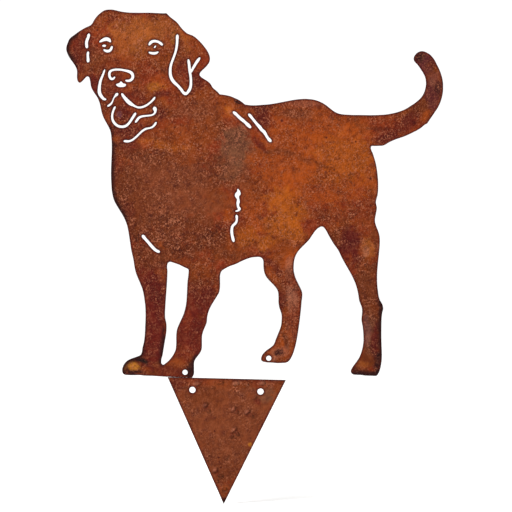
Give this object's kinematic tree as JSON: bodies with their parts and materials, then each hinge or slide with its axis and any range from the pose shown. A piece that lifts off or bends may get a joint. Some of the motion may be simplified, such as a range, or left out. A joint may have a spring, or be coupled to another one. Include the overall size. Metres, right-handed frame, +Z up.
{
  "type": "metal dog garden stake",
  "caption": "Standing dog silhouette cut from flat rusted steel sheet, its face and coat drawn by see-through slots, with a triangular ground stake under the front paw.",
  "frame": {"origin": "on the ground line, at the middle of the stake's width and the middle of the sheet's thickness", "axes": "+Z straight up, +X along the dog from its head to its tail, +Y through the sheet away from the side the picture shows"},
  "size_m": [0.4149, 0.003, 0.5443],
  "materials": {
    "dog_rust": "matte",
    "stake_rust": "matte"
  },
  "bodies": {
    "root": {"dog_silhouette": "dog_rust", "ground_stake": "stake_rust"}
  },
  "joints": []
}
